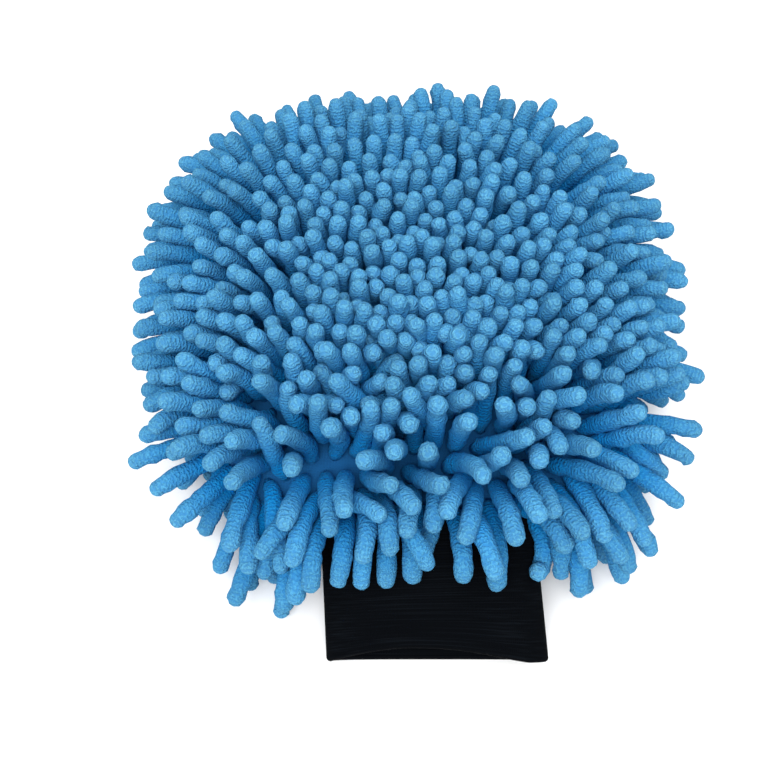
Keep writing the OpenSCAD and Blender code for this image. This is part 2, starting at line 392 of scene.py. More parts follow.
def noodle_mesh(name, lines, radius, rng):
    """Many noodles as one mesh. Each is a tube along a smooth curve through its points, its rings
    turned along without twist. The radius grows from a nipped root, wavers along the shaft and
    closes in a half ball at the tip. The attribute reach runs from root to tip and starts higher
    on noodles in the clear at the edge of the bag, and sets the painted shade down each shaft;
    run is the distance along the noodle, and strand is one random number for each."""
    rings, sides = 12, 10
    waver_share, tip_waver, lump_share = 0.055, 0.02, 0.05
    count, points = lines.shape[:2]
    curve, rate = spline_weights(points, np.linspace(0, 1, rings))
    centre = np.einsum("jk,nkc->njc", curve, lines)
    along = unit(np.einsum("jk,nkc->njc", rate, lines))
    turn = np.radians([24, 48, 70])  # of the rings of the half ball
    tip = centre[:, -1:] + radius * np.sin(turn)[None, :, None] * along[:, -1:]
    centre = np.concatenate([centre, tip], 1)
    along = np.concatenate([along, np.repeat(along[:, -1:], 3, 1)], 1)
    total = rings + 3
    share_along = np.linspace(0, 1, rings)
    nip = 0.5 + 0.5 * np.clip(share_along / 0.2, 0, 1) ** 0.7
    slim = 1 - 0.07 * np.clip((share_along - 0.6) / 0.4, 0, 1) ** 1.5
    profile = np.concatenate([nip * slim, 0.93 * np.cos(turn) ** 0.9])
    waver = 1 + waver_share * rng.standard_normal((count, total))
    waver[:, -3:] = 1 + tip_waver * rng.standard_normal((count, 3))
    lump = 1 + lump_share * rng.standard_normal((count, total, sides))
    size = radius * profile[None, :, None] * waver[:, :, None] * lump
    side_way = np.cross(along[:, 0], np.array([0.31, 0.87, 0.38]))
    frames = []
    for j in range(total):
        side_way = unit(side_way - (side_way * along[:, j]).sum(-1, keepdims=True) * along[:, j])
        frames.append(side_way)
    a = np.stack(frames, 1)
    b = np.cross(along, a)
    angle = 2 * np.pi * np.arange(sides) / sides
    outward = np.cos(angle)[:, None] * a[:, :, None] + np.sin(angle)[:, None] * b[:, :, None]
    ring = centre[:, :, None] + size[..., None] * outward
    root_pole = centre[:, :1]
    tip_pole = lines[:, -1:] + radius * unit(along[:, -1:])
    verts = np.concatenate([ring.reshape(count, -1, 3), root_pole, tip_pole], 1)
    per = total * sides + 2
    quads = grid_faces(total, sides, loop_columns=True)
    c = np.arange(sides)
    start_fan = np.stack([np.full(sides, total * sides), (c + 1) % sides, c], -1)
    last = (total - 1) * sides
    end_fan = np.stack([np.full(sides, total * sides + 1), last + c, last + (c + 1) % sides], -1)
    fans = np.concatenate([start_fan, end_fan])
    base = (np.arange(count) * per)[:, None, None]
    faces = (quads + base).reshape(-1, 4).tolist() + (fans + base).reshape(-1, 3).tolist()
    piece = new_piece(name, verts, faces)
    point_attribute(piece, "strand", np.repeat(rng.random(count), per))
    reach = np.concatenate([np.linspace(0, 1, total).repeat(sides), [0, 1]])
    # Noodles in the clear at the bag's edge start with a higher reach, so they get less painted
    # shade down their shafts.
    clear = 0.2 * smooth(Bag.reach(lines[:, 0, 0], lines[:, 0, 1]), 0.45, 0.9)
    point_attribute(piece, "reach", reach + (1 - reach) * clear[:, None])
    run = np.linalg.norm(np.diff(centre, axis=1), axis=2)
    run = np.concatenate([np.zeros((count, 1)), np.cumsum(run, 1)], 1) + rng.random((count, 1))
    run = np.concatenate([run.repeat(sides, 1), run[:, :1], run[:, -1:] + 0.3 * radius], 1)
    point_attribute(piece, "run", run)
    return piece


# ---------------------------------------------------------------- the settled pile


def strands_of(row):
    """Root, direction and length of each noodle of a strip in the frame. Triangles that share a
    corner are one noodle, its direction is the way its corners spread most, and its root is the
    end nearer the bag's middle surface."""
    mesh = frame["nodes"][row].data
    spots = np.empty(len(mesh.vertices) * 3, np.float32)
    mesh.vertices.foreach_get("co", spots)
    mesh.calc_loop_triangles()
    corners = np.empty(len(mesh.loop_triangles) * 3, np.int32)
    mesh.loop_triangles.foreach_get("vertices", corners)
    spots = np.round(spots.reshape(-1, 3).astype(float), 6)
    spots, same = np.unique(spots, axis=0, return_inverse=True)
    corners = same.ravel()[corners].reshape(-1, 3)
    label = np.arange(len(spots))
    while True:
        lower = label.copy()
        np.minimum.at(lower, corners.ravel(), np.repeat(label[corners].min(1), 3))
        lower = lower[lower]
        if np.array_equal(lower, label):
            break
        label = lower
    which = np.unique(label, return_inverse=True)[1].ravel()
    count = which.max() + 1
    many = np.bincount(which, minlength=count)
    middle = np.stack([np.bincount(which, spots[:, a], count) / many for a in range(3)], 1)
    off = spots - middle[which]
    products = [off[:, a] * off[:, b] for a in range(3) for b in range(3)]
    spread = np.stack([np.bincount(which, product, count) for product in products], 1)
    way = np.linalg.eigh(spread.reshape(-1, 3, 3))[1][:, :, 2]
    along = (off * way[which]).sum(1)
    low, high = np.zeros(count), np.zeros(count)
    np.minimum.at(low, which, along)
    np.maximum.at(high, which, along)
    ends = middle[:, None] + np.stack([low, high], 1)[..., None] * way[:, None]
    off_middle = np.abs(ends[..., 2] - Bag.mid(ends[..., 1]))
    swap = off_middle[:, 0] > off_middle[:, 1]
    ends[swap] = ends[swap][:, ::-1]
    ends = ends[np.argsort(ends[:, 0, 0])]
    run = ends[:, 1] - ends[:, 0]
    return ends[:, 0], unit(run), np.linalg.norm(run, axis=1)


def near_pairs(points, owner, reach):
    """Pairs of points of different noodles nearer than reach, found by sorting the points into
    cubes that wide."""
    cell = np.floor(points / reach).astype(np.int64)
    cell -= cell.min(0)
    size = cell.max(0) + 3
    key = (cell[:, 0] * size[1] + cell[:, 1]) * size[2] + cell[:, 2]
    order = np.argsort(key, kind="stable")
    ranked = key[order]
    first, second = [], []
    for dx in (-1, 0, 1):
        for dy in (-1, 0, 1):
            for dz in (-1, 0, 1):
                step = (dx * size[1] + dy) * size[2] + dz
                low = np.searchsorted(ranked, key + step, "left")
                high = np.searchsorted(ranked, key + step, "right")
                many = high - low
                i = np.repeat(np.arange(len(key)), many)
                start = np.repeat(low - np.concatenate([[0], np.cumsum(many)[:-1]]), many)
                j = order[start + np.arange(len(i))]
                keep = (i < j) & (owner[i] != owner[j])
                i, j = i[keep], j[keep]
                close = ((points[i] - points[j]) ** 2).sum(1) < reach**2
                first.append(i[close])
                second.append(j[close])
    return np.concatenate(first), np.concatenate(second)


def clear_of_bag(points, side, radius, bag_thickness):
    """Heights of the points, with those of the top pile pushed up off the bag and those of the
    palm pile pushed down off it."""
    rise = Bag.rise_at(points[..., 0], points[..., 1], bag_thickness)
    level = Bag.mid(points[..., 1])
    gap = side * (points[..., 2] - level)
    want = np.where(rise > 0, rise + radius * 0.75, -1)
    return np.where(gap < want, level + side * want, points[..., 2])


def clear_of_cuff(points, side, radius, cuff):
    """Keeps points off the cuff: top noodles lie on it, and palm noodles stay behind its seam."""
    out = HINGE.y - points[..., 1]
    across = np.abs(points[..., 0])
    level = HINGE.z - out * math.tan(cuff.slope)
    half = cuff.height / 2 / math.cos(cuff.slope)
    edge = np.clip((across - (cuff.width / 2 - cuff.height / 2)) / (cuff.height / 2), 0, 1)
    over = (out > -0.002) & (across < cuff.width / 2 + radius * 0.6)
    lie = level + half * np.sqrt(1 - np.minimum(edge, 0.999) ** 2) + radius * 0.9
    on_top = over & (side > 0) & (points[..., 2] < lie) & (points[..., 2] > level - half)
    points[..., 2] = np.where(on_top, lie, points[..., 2])
    under = over & (side < 0) & (out > 0.001)
    points[..., 1] = np.where(under, HINGE.y - 0.001, points[..., 1])
    return points


def zones_of(root, side):
    """How far each noodle's root lies in each zone of the mitt. A zone is a share from 0 to 1, with
    smooth bounds in metres counted from the middle of the mitt towards the cuff or to the sides:
    edge          along the bag's outline
    fringe        the top pile next to the cuff's seam
    front         the top pile from the middle to the cuff
    wide          the two sides
    near_corner   the corners by the cuff, and more so the right one
    far_corner    the corners by the fingertips, and more so the right one
    trim          the edge on the cuff's half, between the corners
    fingertips    the far end
    forward       the top pile's lean to the cuff, which turns back behind the parting"""
    across, ahead, top = np.abs(root[:, 0]), -root[:, 1], side > 0
    right = root[:, 0] > 0
    edge = smooth(Bag.reach(root[:, 0], root[:, 1]), 0.5, 0.95)
    wide = smooth(across, 0.035, 0.075) * edge
    near_corner = wide * smooth(ahead, 0.045, 0.08) * (0.8 + 0.9 * right)
    far_corner = wide * smooth(-ahead, 0.03, 0.08) * (0.6 + 0.4 * right)
    corner = near_corner + far_corner
    parting = smooth(ahead, 0.005, 0.045) * (1 - smooth(ahead, 0.055, 0.07)) * (1 - 0.6 * edge)
    lean = 0.55 * smooth(ahead, -0.14, 0.0) + 0.5 * smooth(ahead, 0.05, 0.075)
    return SimpleNamespace(
        edge=edge,
        fringe=smooth(ahead, -HINGE.y - 0.022, -HINGE.y - 0.005) * top,
        front=smooth(ahead, -0.015, -HINGE.y) * top,
        wide=wide,
        near_corner=near_corner,
        far_corner=far_corner,
        corner=corner,
        trim=smooth(ahead, -0.045, 0.03) * edge * (1 - corner),
        fingertips=smooth(-ahead, 0.12, 0.16),
        forward=(lean - 1.5 * parting) * top,
    )


def sewn_stretches(long, zone, pile):
    """Length between two points of each noodle's line. Noodles are trimmed at the sides and a
    little at the fingertips, longer at the corners, and least even over the cuff."""
    stretch = (long - pile.thickness / 2) / (STRAND_POINTS - 1)
    change = 0.1 * zone.trim * (1 - zone.fringe)
    stretch = stretch * (1 - change + 0.1 * zone.corner - 0.06 * zone.fingertips)
    uneven = np.random.default_rng(pile.seed + 2).random(len(long))
    return stretch * (1 - 0.22 * zone.fringe * (1 - zone.wide) * uneven)


def sewn_directions(root, way, zone, pile, rng):
    """Direction in which each noodle starts. The direction in the frame is drawn in at the sides,
    spread at the corners and leaned along the mitt, and then disturbed at random, more so in
    front, and most for a few strays."""
    drift = way * (1 - np.array([0.42, 0, 0]) * zone.trim[:, None])
    drift[:, 0] += np.sign(root[:, 0]) * (0.1 * zone.near_corner + 0.5 * zone.far_corner)
    drift[:, 1] -= 1.1 * zone.near_corner
    drift[:, 1] -= pile.forward * zone.forward * (0.55 + 0.45 * zone.edge)
    stray = 0.4 * (rng.random(len(root)) < 0.05 * (1 - zone.edge) + 0.2 * zone.front)
    disorder = 0.10 - 0.02 * zone.edge + 0.18 * zone.front + stray
    return unit(drift + disorder[:, None] * rng.standard_normal(way.shape))


def clump_pull(tips, edge, pile, rng):
    """Pull on each tip, seen from above, towards the nearest of the clumps' random centres."""
    centre = rng.uniform([-0.11, -0.10], [0.11, 0.125], (pile.clumps, 2))
    nearest = np.argmin(((tips[:, None] - centre[None]) ** 2).sum(-1), 1)
    pull = centre[nearest] - tips
    pull = pull / np.maximum(np.linalg.norm(pull, axis=1, keepdims=True), 0.012)
    strength = rng.uniform(0.2, 1, (len(tips), 1))
    return pull * pile.clump_reach * strength * (0.45 + 0.55 * edge)[:, None]


def net_push(one, other, move, count):
    """Sum of the moves on each point, added where it is the first of a pair and taken away where
    it is the second."""
    push = [np.bincount(one, m, count) - np.bincount(other, m, count) for m in move.T]
    return np.stack(push, 1)


def spread_tips(line, tip, next_tip, room, out, pile):
    """Bends close noodles apart until their tips have room."""
    away = line[tip, -1] - line[next_tip, -1]
    apart = np.maximum(np.linalg.norm(away, axis=1, keepdims=True), 1e-9)
    away *= pile.spread * np.maximum(0, room - apart) / apart
    return line + net_push(tip, next_tip, away, len(line))[:, None] * (out**2)[:, None]


def push_apart(flat, one, other, sizes, free):
    """Moves touching points apart by half their overlap each, and less where a point touches
    many."""
    gap = flat[one] - flat[other]
    apart = np.maximum(np.linalg.norm(gap, axis=1), 1e-9)
    over = np.maximum(0, sizes[one] + sizes[other] - apart)
    move = gap / apart[:, None] * (over * 0.5)[:, None]
    shift = net_push(one, other, move, len(flat))
    touched = np.bincount(one, over > 0, len(flat)) + np.bincount(other, over > 0, len(flat))
    return flat + shift / np.maximum(1, touched * 0.6)[:, None] * free[:, None]


def settle(root, way, long, side, pile, cloth, cuff):
    """Centre lines of all the noodles after they have come to rest. Each step lets the free
    points fall, draws them towards their clump, holds each noodle to its sewn direction, less and
    less towards the tip, straightens every three points in a row, spreads close tips, moves
    touching noodles apart, keeps points off the bag, the cuff and the floor, and then sets each
    stretch back to its length from the root out."""
    rng = np.random.default_rng(pile.seed)
    count, radius = len(root), pile.thickness / 2
    zone = zones_of(root, side)
    stretch = sewn_stretches(long, zone, pile)[:, None]
    drift = sewn_directions(root, way, zone, pile, rng)
    sewn = root[:, None] + drift[:, None] * (stretch * np.arange(STRAND_POINTS))[..., None]
    line = sewn.copy()
    pull = clump_pull(line[:, -1, :2], zone.edge, pile, rng)
    out = np.linspace(0, 1, STRAND_POINTS)
    owner = np.repeat(np.arange(count), STRAND_POINTS)
    size = np.full(STRAND_POINTS, radius)
    size[:2] = radius * 0.45, radius * 0.8
    sizes = np.tile(size, count)
    free = np.tile(out > 0, count).astype(float)
    room = 1.7 * pile.thickness
    fall = pile.droop * (0.3 + 0.7 * zone.edge + 1.6 * zone.fringe)
    hold = pile.tidiness * (1 - out[None, :]) ** 1.3 * (1 - 0.75 * zone.fringe)[:, None]
    for step in range(pile.steps):
        calm = 1 - 0.6 * step / pile.steps
        line[:, :, 2] -= fall[:, None] * out**1.5 * calm
        line[:, :, :2] += pull[:, None] * (out**2)[None, :, None] * 0.06 * calm
        line += hold[..., None] * (sewn - line)
        for k in range(2, STRAND_POINTS):
            straight = 2 * line[:, k - 1] - line[:, k - 2]
            line[:, k] += pile.stiffness * 0.5 * (straight - line[:, k])
        if step % 7 == 0:
            one, other = near_pairs(line.reshape(-1, 3), owner, pile.thickness + 3 * MM)
            tip, next_tip = near_pairs(line[:, -1], np.arange(count), room)
        line = spread_tips(line, tip, next_tip, room, out, pile)
        line = push_apart(line.reshape(-1, 3), one, other, sizes, free).reshape(line.shape)
        line[:, 2:, 2] = clear_of_bag(line[:, 2:], side[:, None], radius, cloth.thickness)
        line[:, 2:] = clear_of_cuff(line[:, 2:], side[:, None], radius, cuff)
        line[:, 1:, 2] = np.maximum(line[:, 1:, 2], 1.1 * radius)
        line[:, 0] = root
        for k in range(1, STRAND_POINTS):
            line[:, k] = line[:, k - 1] + unit(line[:, k] - line[:, k - 1]) * stretch
    line[:, 1:, 2] = np.maximum(line[:, 1:, 2], 1.1 * radius)
    return line


def settled_pile():
    """The centre lines of each strip's noodles, by the strip's name, worked out once for both
    piles."""
    scene = bpy.context.scene
    pile, cloth, cuff = scene.mitt_pile, scene.mitt_cloth, scene.mitt_cuff
    if settled_pile.rows:
        return settled_pile.rows
    rng = np.random.default_rng(pile.seed + 1)
    strands, names = [], []
    for row in TOP_ROWS + PALM_ROWS:
        root, way, long = strands_of(row)
        spread = 1 + pile.length_spread * np.clip(rng.standard_normal(len(root)), -1.6, 1.6)
        if row in TOP_ROWS:
            side, long = TOP, pile.top_length * spread
        else:
            side, long = PALM, np.minimum(pile.palm_length, long * 1.12) * spread
        strands.append((root, way, long, np.full(len(root), side)))
        names += [row] * len(root)
    root, way, long, side = (np.concatenate(part) for part in zip(*strands))
    lines = settle(root, way, long, side, pile, cloth, cuff)
    names = np.array(names)
    settled_pile.rows = {row: lines[names == row] for row in TOP_ROWS + PALM_ROWS}
    return settled_pile.rows


settled_pile.rows = {}


# ---------------------------------------------------------------- materials


def node(tree, kind, inputs=None, **attributes):
    """A node of a tree. Each entry of inputs, by name or number, is a value or a socket to link
    from."""
    made = tree.nodes.new(kind)
    for name, value in attributes.items():
        setattr(made, name, value)
    for name, value in (inputs or {}).items():
        if isinstance(value, bpy.types.NodeSocket):
            tree.links.new(value, made.inputs[name])
        else:
            made.inputs[name].default_value = value
    return made


def maths(tree, operation, *values):
    """The result of a Math node on values or sockets."""
    return node(tree, "ShaderNodeMath", dict(enumerate(values)), operation=operation).outputs[0]


def remap(tree, value, low=0, high=1, to_low=0, to_high=1, kind="SMOOTHSTEP"):
    """A socket's value carried from the range low to high over to to_low to to_high."""
    ends = {"From Min": low, "From Max": high, "To Min": to_low, "To Max": to_high}
    made = node(tree, "ShaderNodeMapRange", {"Value": value, **ends}, interpolation_type=kind)
    return made.outputs["Result"]


def mixed(tree, share_of_b, a, b):
    """Two colours mixed. Each is a socket or a colour of three numbers."""
    inputs = {"Factor": share_of_b, "A": a, "B": (*b, 1)}
    if not isinstance(a, bpy.types.NodeSocket):
        inputs["A"] = (*a, 1)
    return node(tree, "ShaderNodeMix", inputs, data_type="RGBA").outputs["Result"]


def new_group(name, inputs, outputs):
    """A shader node group with its input and output nodes. Vector is a vector, all else are
    numbers."""
    group = bpy.data.node_groups.new(name, "ShaderNodeTree")
    for label, default in inputs.items():
        kind = "NodeSocketVector" if label == "Vector" else "NodeSocketFloat"
        made = group.interface.new_socket(name=label, in_out="INPUT", socket_type=kind)
        if default is not None:
            made.default_value = default
    for label in outputs:
        group.interface.new_socket(name=label, in_out="OUTPUT", socket_type="NodeSocketFloat")
    return group, group.nodes.new("NodeGroupInput"), group.nodes.new("NodeGroupOutput")


def nub_group():
    """Chenille nubs: a fine round cell pattern for the clipped fibre ends, over a finer grain and
    over ribs that cross the noodle where the yarn's twist shows. Run is the distance along the
    noodle. Puts out a height and a mask of the pits between nubs, where the pile gets painted
    shade."""
    found = bpy.data.node_groups.get("chenille_nubs")
    if found:
        return found
    sizes = {"Vector": None, "Run": None, "Nub size": 1 * MM, "Rib pitch": 1.5 * MM}
    group, start, end = new_group("chenille_nubs", sizes, ("Height", "Pit"))
    place, link = start.outputs["Vector"], group.links.new
    wobble = node(group, "ShaderNodeTexNoise", {"Vector": place, "Scale": 420, "Detail": 2})
    offset = {0: wobble.outputs["Color"], 1: (0.5, 0.5, 0.5)}
    centred = node(group, "ShaderNodeVectorMath", offset, operation="SUBTRACT")
    moves = {0: centred.outputs[0], 1: (1.8 * MM, 1.8 * MM, 1.8 * MM), 2: place}
    moved = node(group, "ShaderNodeVectorMath", moves, operation="MULTIPLY_ADD")
    pattern = {
        "Vector": moved.outputs[0],
        "Scale": maths(group, "DIVIDE", 1, start.outputs["Nub size"]),
        "Smoothness": 0.6,
    }
    cells = node(group, "ShaderNodeTexVoronoi", pattern, feature="SMOOTH_F1")
    grain = node(group, "ShaderNodeTexNoise", {"Vector": place, "Scale": 2600, "Detail": 3})
    dome = remap(group, cells.outputs["Distance"], 0.75, 0.05)
    both = maths(group, "MULTIPLY_ADD", grain.outputs["Fac"], 0.35, dome)
    turns = maths(group, "DIVIDE", start.outputs["Run"], start.outputs["Rib pitch"])
    bent = maths(group, "MULTIPLY_ADD", wobble.outputs["Fac"], 1.6, turns)
    rib = maths(group, "SINE", maths(group, "MULTIPLY", bent, 2 * math.pi))
    ribbed = maths(group, "MULTIPLY_ADD", rib, 0.22, both)
    link(ribbed, end.inputs["Height"])
    link(remap(group, ribbed, 0.15, 0.95, 1, 0), end.inputs["Pit"])
    return group


def weave_group():
    """Fine knit: two crossed rows of small waves on the surface's own coordinates, so many to the
    metre. Puts out a height and a mask of the hollows."""
    found = bpy.data.node_groups.get("fine_knit")
    if found:
        return found
    counts = {"Vector": None, "Across": 900, "Along": 900}
    group, start, end = new_group("fine_knit", counts, ("Height", "Hollow"))
    split = node(group, "ShaderNodeSeparateXYZ", {0: start.outputs["Vector"]})
    waves = []
    for axis, name in (("X", "Across"), ("Y", "Along")):
        turns = maths(group, "MULTIPLY", split.outputs[axis], start.outputs[name])
        waves.append(maths(group, "SINE", maths(group, "MULTIPLY", turns, 2 * math.pi)))
    level = remap(group, maths(group, "ADD", *waves), -2, 2)
    group.links.new(level, end.inputs["Height"])
    group.links.new(maths(group, "SUBTRACT", 1, level), end.inputs["Hollow"])
    return group


def new_material(name):
    """A new material, its tree and its Principled shader."""
    material = bpy.data.materials.new(name)
    material.use_nodes = True
    tree = material.node_tree
    return material, tree, tree.nodes["Principled BSDF"]


def fabric_look(shader, roughness, sheen, sheen_roughness, tint, specular=0.18):
    """Sets how a cloth's surface takes the light."""
    shader.inputs["Roughness"].default_value = roughness
    shader.inputs["Specular IOR Level"].default_value = specular
    shader.inputs["Sheen Weight"].default_value = sheen
    shader.inputs["Sheen Roughness"].default_value = sheen_roughness
    shader.inputs["Sheen Tint"].default_value = (*tint, 1)


def surface(tree, shader, base, height, strength, depth):
    """Links a base colour, and a height as bump, to a shader."""
    tree.links.new(base, shader.inputs["Base Color"])
    inputs = {"Height": height, "Strength": strength, "Distance": depth}
    bump = node(tree, "ShaderNodeBump", inputs)
    tree.links.new(bump.outputs["Normal"], shader.inputs["Normal"])


def pile_material():
    """Chenille: nubs in two blues, paler towards each tip, the shafts darkened towards the root as
    painted shade, less so on noodles in the clear at the bag's edge, with painted shade in the pits
    between nubs, and each noodle a tone of its own at random.
    """
    found = bpy.data.materials.get("chenille")
    if found:
        return found
    shades = bpy.context.scene.mitt_colours
    material, tree, shader = new_material("chenille")
    fabric_look(shader, 0.95, 0.12, 0.5, (0.2, 0.65, 1.0), specular=0.02)
    place = node(tree, "ShaderNodeTexCoord").outputs["Object"]
    run, strand, reach = (
        node(tree, "ShaderNodeAttribute", attribute_name=name).outputs["Fac"]
        for name in ("run", "strand", "reach")
    )
    nubs = node(tree, "ShaderNodeGroup", {"Vector": place, "Run": run}, node_tree=nub_group())
    # Painted shade: the shafts darken towards the root, where the colour goes from the tip's blue
    # to the shaft's.
    face = mixed(tree, remap(tree, reach, 0.35, 1.0), shades.shaft, shades.pile)
    # Painted shade in the pits between nubs.
    pits = maths(tree, "MULTIPLY", nubs.outputs["Pit"], 0.42)
    base = mixed(tree, pits, face, shades.pit_shade)
    tone = {"Value": remap(tree, strand, 0, 1, 0.9, 1.1, "LINEAR"), "Color": base}
    base = node(tree, "ShaderNodeHueSaturation", tone).outputs["Color"]
    surface(tree, shader, base, nubs.outputs["Height"], 0.9, 0.55 * MM)
    return material


def darker(shade, share_left):
    """A colour with this share of its light."""
    return tuple(share_left * c for c in shade)


def knit_material(name, light, dark, across, along):
    """Fine knit or woven cloth in two shades of one colour, the darker one painted shade in its
    hollows, in clouds.
    """
    found = bpy.data.materials.get(name)
    if found:
        return found
    material, tree, shader = new_material(name)
    fabric_look(shader, 0.9, 0.25, 0.4, light)
    place = node(tree, "ShaderNodeTexCoord").outputs["Object"]
    counts = {"Vector": place, "Across": across, "Along": along}
    knit = node(tree, "ShaderNodeGroup", counts, node_tree=weave_group())
    cloud = node(tree, "ShaderNodeTexNoise", {"Vector": place, "Scale": 120, "Detail": 4})
    # Painted shade in the knit's hollows, broken into clouds.
    hollow_shade = maths(tree, "MULTIPLY", knit.outputs["Hollow"], cloud.outputs["Fac"])
    base = mixed(tree, remap(tree, hollow_shade, 0, 0.6, kind="LINEAR"), light, dark)
    surface(tree, shader, base, knit.outputs["Height"], 0.6, 0.25 * MM)
    return material


def cuff_material():
    """Cuff knit: near black, with faint paler courses running round the cuff, each broken by a
    slow noise."""
    found = bpy.data.materials.get("cuff_knit_cloth")
    if found:
        return found
    shades = bpy.context.scene.mitt_colours
    material, tree, shader = new_material("cuff_knit_cloth")
    fabric_look(shader, 0.9, 0.0, 0.4, (0.5, 0.6, 0.7), specular=0.04)
    place = node(tree, "ShaderNodeTexCoord").outputs["UV"]
    counts = {"Vector": place, "Across": 1150, "Along": 900}
    knit = node(tree, "ShaderNodeGroup", counts, node_tree=weave_group())
    stretch = node(tree, "ShaderNodeMapping", {"Vector": place, "Scale": (45, 1400, 1)})
    noise = {"Vector": stretch.outputs["Vector"], "Scale": 1, "Detail": 3}
    course = node(tree, "ShaderNodeTexNoise", noise).outputs["Fac"]
    base = mixed(tree, remap(tree, course, 0.45, 0.8), shades.knit, shades.knit_light)
    height = maths(tree, "ADD", knit.outputs["Height"], course)
    surface(tree, shader, base, height, 0.5, 0.3 * MM)
    return material



# ---------------------------------------------------------------- operators


class MITT_OT_top_pile(Operator):
    """Chenille noodles of the top cloth, one piece for each strip of sewn rows"""

    bl_idname = "mitt.top_pile"
    bl_label = "Top pile"

    def execute(self, context):
        make_pile(context, TOP_ROWS, "top_pile_row", 100)
        return {"FINISHED"}


class MITT_OT_palm_pile(Operator):
    """Chenille noodles of the palm cloth, one piece for each strip of sewn rows"""

    bl_idname = "mitt.palm_pile"
    bl_label = "Palm pile"

    def execute(self, context):
        make_pile(context, PALM_ROWS, "palm_pile_row", 500)
        return {"FINISHED"}


def make_pile(context, rows, name, seed):
    """Builds each strip's noodles. Those that hang over the cuff are a piece of their own."""
    pile = context.scene.mitt_pile
    lines = settled_pile()
    for number, row in enumerate(rows, 1):
        rng = np.random.default_rng(seed + number)
        line = lines[row]
        hangs = np.abs(line[:, :, 0]).min(1) < FRINGE_HALF_WIDTH
        hangs &= (line[:, :, 1].min(1) < HINGE.y - 0.002) & (row in TOP_ROWS)
        if (~hangs).any():
            piece = noodle_mesh(f"{name}_{number:02d}", line[~hangs], pile.thickness / 2, rng)
            finish_piece(piece, "mitt", "chenille_pile", pile_material(), row)
        if hangs.any():
            piece = noodle_mesh(f"cuff_fringe_{number:02d}", line[hangs], pile.thickness / 2, rng)
            finish_piece(piece, None, "chenille_pile", pile_material(), row)
            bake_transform(piece)


class MITT_OT_backing(Operator):
    """Backing cloths of the pile, top and palm, puckered along each sewn row"""

    bl_idname = "mitt.backing"
    bl_label = "Backing cloths"

    def execute(self, context):
        cloth = context.scene.mitt_cloth
        shades = context.scene.mitt_colours
        # The backing colour holds painted shade of the gaps between noodles; its darker share is
        # painted shade in the weave's hollows.
        dark = darker(shades.backing, 0.7)
        material = knit_material("backing_cloth", shades.backing, dark, 1700, 1700)
        for name, side, stands_for, under in (
            ("top_backing", TOP, "top_cloth", "top_lining"),
            ("palm_backing", PALM, "palm_cloth", "palm_lining"),
        ):
            thick, grid = cloth.cloth, (72, 84)
            piece = bag_sheet(name, side, thick / 2, thick, cloth, grid, cloth.pucker)
            finish_piece(piece, "mitt", "pile_backing", material, stands_for)
        return {"FINISHED"}


def bag_sheet(name, side, inset, thick, cloth, grid, pucker):
    """One cloth of the bag: a grid of the bag's surface at one inset, dipped by a cosine across
    each sewn row, then given its thickness. The grid is finer towards the edges, as a sine and a
    cosine go."""
    columns, rows = grid
    across = np.sin(np.linspace(-np.pi / 2, np.pi / 2, columns))[None, :]
    middle, half = (Bag.tip + Bag.cut) / 2, (Bag.tip - Bag.cut) / 2
    along = (middle - half * np.cos(np.linspace(0, np.pi, rows)))[:, None]
    across, along = np.broadcast_arrays(across, along)
    points = Bag.point(across, along, inset, side, cloth.thickness)
    points[..., 2] += side * 0.15 * MM
    row_place = (points[..., 1] - Bag.start - Bag.first_row) / Bag.row_step
    dip = pucker * (0.5 + 0.5 * np.cos(2 * np.pi * row_place))
    points[..., 2] -= side * dip * (1 - across**4)
    faces = grid_faces(rows, columns)
    if side == PALM:
        faces = faces[:, ::-1]
    uv = points[..., :2].reshape(-1, 2)[faces].reshape(-1, 2)
    piece = new_piece(name, points, faces.tolist(), uv)
    thicken(piece, thick)
    return piece


class MITT_OT_lining(Operator):
    """Mesh lining inside the bag, top and palm"""

    bl_idname = "mitt.lining"
    bl_label = "Lining"

    def execute(self, context):
        cloth = context.scene.mitt_cloth
        shades = context.scene.mitt_colours
        # The darker share is painted shade in the lining's hollows.
        dark = darker(shades.lining, 0.5)
        material = knit_material("lining_mesh_cloth", shades.lining, dark, 650, 650)
        inset = LINING_INSET + cloth.lining / 2
        for name, side, stands_for, over in (
            ("top_lining_mesh", TOP, "top_lining", "top_cloth"),
            ("palm_lining_mesh", PALM, "palm_lining", "palm_cloth"),
        ):
            piece = bag_sheet(name, side, inset, cloth.lining, cloth, (48, 56), 0)
            finish_piece(piece, "mitt", "lining_mesh", material, stands_for)
        return {"FINISHED"}


class MITT_OT_seams(Operator):
    """Thread of the seams and of the sewn rows"""

    bl_idname = "mitt.seams"
    bl_label = "Seams"

    def execute(self, context):
        shades = context.scene.mitt_colours
        pitch = (1400, 1400)
        # The second colour of each thread is painted shade in the hollows of its twist.
        pale, grey = (0.7, 0.72, 0.74), (0.45, 0.47, 0.5)
        coal, soot = (0.01, 0.012, 0.014), (0.004, 0.004, 0.005)
        blue = knit_material("blue_thread", shades.thread, darker(shades.thread, 0.5), *pitch)
        white = knit_material("lining_thread_twist", pale, grey, *pitch)
        black = knit_material("cuff_thread_twist", coal, soot, *pitch)
        for name, material in (
            ("side_seam_thread", blue),
            ("cuff_seam_thread", blue),
            ("top_row_stitches", blue),
            ("palm_row_stitches", blue),
            ("lining_seam_thread", white),
            ("cuff_side_seam", black),
        ):
            mesh = frame["nodes"][name].data
            mesh.materials.clear()
            mesh.materials.append(material)
        return {"FINISHED"}


